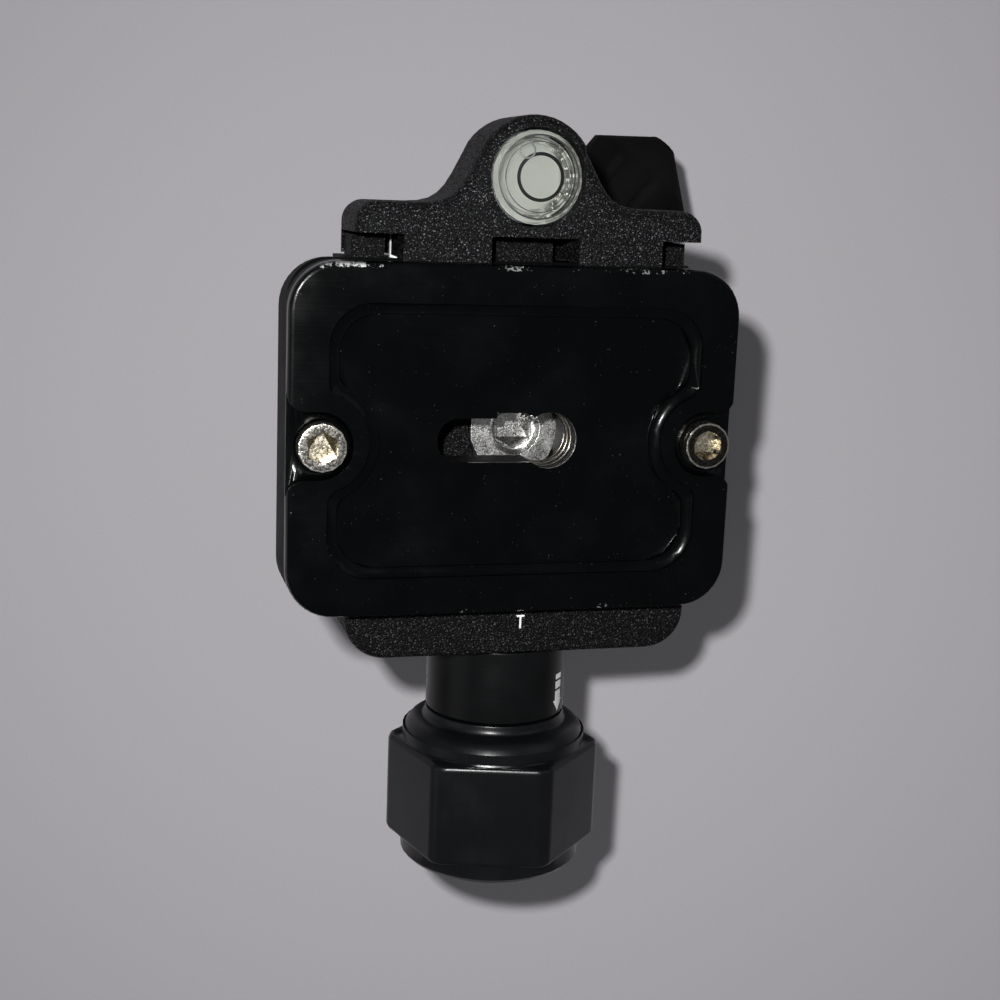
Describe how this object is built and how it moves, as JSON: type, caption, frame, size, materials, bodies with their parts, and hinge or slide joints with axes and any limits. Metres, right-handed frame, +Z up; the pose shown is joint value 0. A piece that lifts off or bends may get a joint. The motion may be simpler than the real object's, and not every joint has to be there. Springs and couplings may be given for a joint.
{
  "type": "ball head",
  "caption": "Compact tripod ball head with a screw-driven dovetail clamp, a bubble level, a camera plate and separate ball and pan locks.",
  "frame": {"origin": "on the ground plane, under the middle of the whole part's bounding box", "axes": "+Z up along the pan axis, +Y from the clamp knob towards the level, +X along the camera plate"},
  "size_m": [0.0534, 0.0944, 0.0847],
  "materials": {
    "satin_black": "satin black anodised",
    "crinkle_black": "fine-grained black powder coat",
    "gloss_black": "glossy black anodised, worn bright at its edges",
    "ball_black": "smooth dark anodised",
    "steel": "bright stainless",
    "brass": "turned",
    "nylon": "natural",
    "ptfe": "white",
    "clear": "clear acrylic",
    "white": "white"
  },
  "bodies": {
    "base": {"base_plate": "satin_black", "thread_insert": "steel", "pan_spindle": "steel", "pan_friction_ring": "ptfe", "pan_washer": "steel", "pan_nut": "brass", "base_screw_1": "steel", "base_screw_2": "steel", "base_screw_3": "steel"},
    "housing": {"body_housing": "satin_black", "ball_collar": "satin_black", "seat_spring": "steel", "ball_lock_bush": "brass"},
    "seat": {"lower_ball_seat": "nylon"},
    "ball": {"ball": "ball_black"},
    "head": {"stem": "satin_black", "clamp_body": "crinkle_black", "clamp_centre_screw": "steel", "clamp_pin_left": "steel", "clamp_pin_right": "steel", "clamp_sleeve": "satin_black", "screw_retaining_ring": "steel", "jaw_spring_left": "steel", "jaw_spring_right": "steel"},
    "clamp_drive": {"clamp_knob": "satin_black", "clamp_screw": "steel", "clamp_knob_screw": "steel"},
    "jaw": {"far_jaw": "crinkle_black", "draw_link": "steel", "link_screw_left": "steel", "link_screw_right": "steel", "guide_rod_left": "steel", "guide_rod_right": "steel", "level_vial": "clear", "level_disc": "white"},
    "plate": {"quick_release_plate": "gloss_black", "stop_screw_left": "steel", "stop_screw_right": "steel"},
    "ball_lock_shaft": {"ball_lock_screw": "steel", "ball_lock_pad": "nylon"},
    "ball_lock_grip": {"ball_lock_knob": "satin_black", "ball_lock_cap": "steel"},
    "pan_lock_shaft": {"pan_lock_screw": "steel", "pan_lock_shoe": "brass"},
    "pan_lock_grip": {"pan_lock_knob": "satin_black"}
  },
  "joints": [
    {"name": "pan_turn", "type": "hinge", "parent": "base", "child": "housing", "pos_m": [-0.00616, 0.01163, 0.01], "axis": [0, 0, 1], "continuous": true},
    {"name": "ball_turn", "type": "hinge", "parent": "housing", "child": "seat", "pos_m": [-0.00616, 0.01163, 0.036], "axis": [0, 0, 1], "continuous": true},
    {"name": "ball_tilt", "type": "hinge", "parent": "seat", "child": "ball", "pos_m": [-0.00616, 0.01163, 0.036], "axis": [0.5962, 0.8028, 0], "range_deg": [-47.2, 8.8]},
    {"name": "ball_spin", "type": "hinge", "parent": "ball", "child": "head", "pos_m": [-0.00616, 0.01163, 0.036], "axis": [0.264, -0.1961, 0.9444], "continuous": true},
    {"name": "clamp_knob_turn", "type": "hinge", "parent": "head", "child": "clamp_drive", "pos_m": [0.00001, -0.03295, 0.05403], "axis": [-0.0266, -0.9802, -0.1961], "range_deg": [0, 1800]},
    {"name": "far_jaw_slide", "type": "slide", "parent": "head", "child": "jaw", "axis": [0.0266, 0.9802, 0.1961], "range_m": [0, 0.005]},
    {"name": "plate_slide", "type": "slide", "parent": "head", "child": "plate", "axis": [0.9641, 0.0266, -0.264], "range_m": [-0.0018, 0.0054]},
    {"name": "ball_lock_turn", "type": "hinge", "parent": "ball_lock_shaft", "child": "ball_lock_grip", "pos_m": [0.013, 0.03471, 0.02998], "axis": [0.6388, 0.7694, 0], "range_deg": [0, 300]},
    {"name": "ball_lock_slide", "type": "slide", "parent": "housing", "child": "ball_lock_shaft", "axis": [0.6388, 0.7694, 0], "range_m": [0, 0.00083]},
    {"name": "pan_lock_turn", "type": "hinge", "parent": "pan_lock_shaft", "child": "pan_lock_grip", "pos_m": [0.01242, -0.0051, 0.0109], "axis": [0.7431, -0.6691, 0], "range_deg": [0, 300]},
    {"name": "pan_lock_slide", "type": "slide", "parent": "housing", "child": "pan_lock_shaft", "axis": [0.7431, -0.6691, 0], "range_m": [0, 0.000665]}
  ],
  "couplings": [
    {"joint": "far_jaw_slide", "follows": "clamp_knob_turn", "m_per_rad": 0.00015915},
    {"joint": "ball_lock_turn", "follows": "ball_lock_slide", "rad_per_m": 6283.2},
    {"joint": "pan_lock_turn", "follows": "pan_lock_slide", "rad_per_m": 7854}
  ]
}
